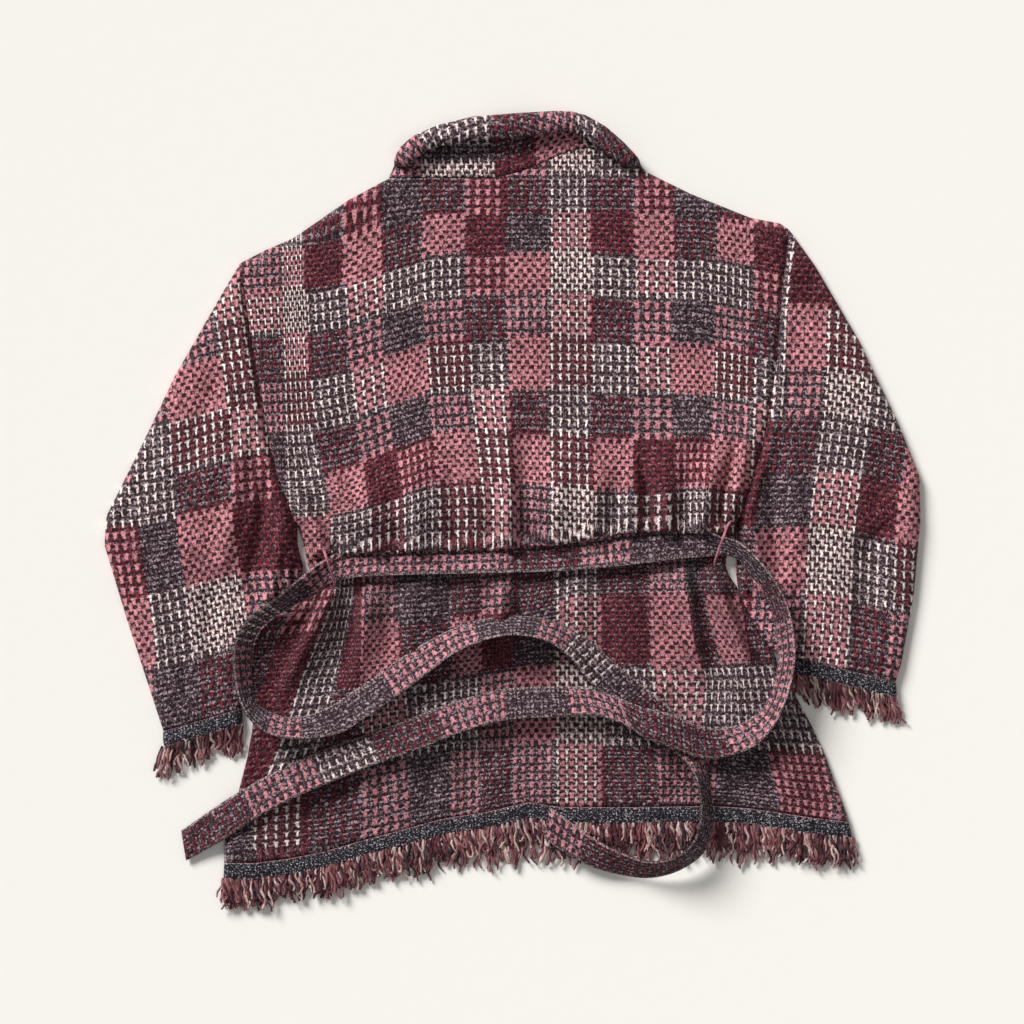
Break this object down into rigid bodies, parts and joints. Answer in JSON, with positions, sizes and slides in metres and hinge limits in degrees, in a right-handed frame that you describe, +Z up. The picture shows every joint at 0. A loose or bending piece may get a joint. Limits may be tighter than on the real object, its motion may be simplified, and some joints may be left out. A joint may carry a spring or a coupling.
{
  "type": "belted tweed jacket laid flat",
  "caption": "Belted tweed jacket with a turned collar and fringed hem and cuffs, laid flat on its front with the loose belt looped over the skirt.",
  "frame": {"origin": "under the middle of the laid jacket, on the surface it lies on", "axes": "+Z up off the surface, out of the jacket's back; +Y towards the collar; the wearer's left sleeve lies towards -X"},
  "size_m": [0.8134, 0.8068, 0.0438],
  "materials": {
    "tweed": "chunky checked wool weave, matt",
    "band": "dark close wool weave, matt",
    "fringe": "frayed wool yarn, matt",
    "thread": "chained sewing thread"
  },
  "bodies": {
    "root": {"back": "tweed", "front_left": "tweed", "front_right": "tweed", "sleeve_left": "tweed", "sleeve_right": "tweed", "collar": "tweed", "belt": "tweed", "hem_band_back": "band", "hem_band_front_left": "band", "hem_band_front_right": "band", "cuff_band_left": "band", "cuff_band_right": "band", "fringe_hem_back": "fringe", "fringe_hem_front_left": "fringe", "fringe_hem_front_right": "fringe", "fringe_cuff_left": "fringe", "fringe_cuff_right": "fringe", "belt_loop_left": "thread", "belt_loop_right": "thread"}
  },
  "joints": []
}
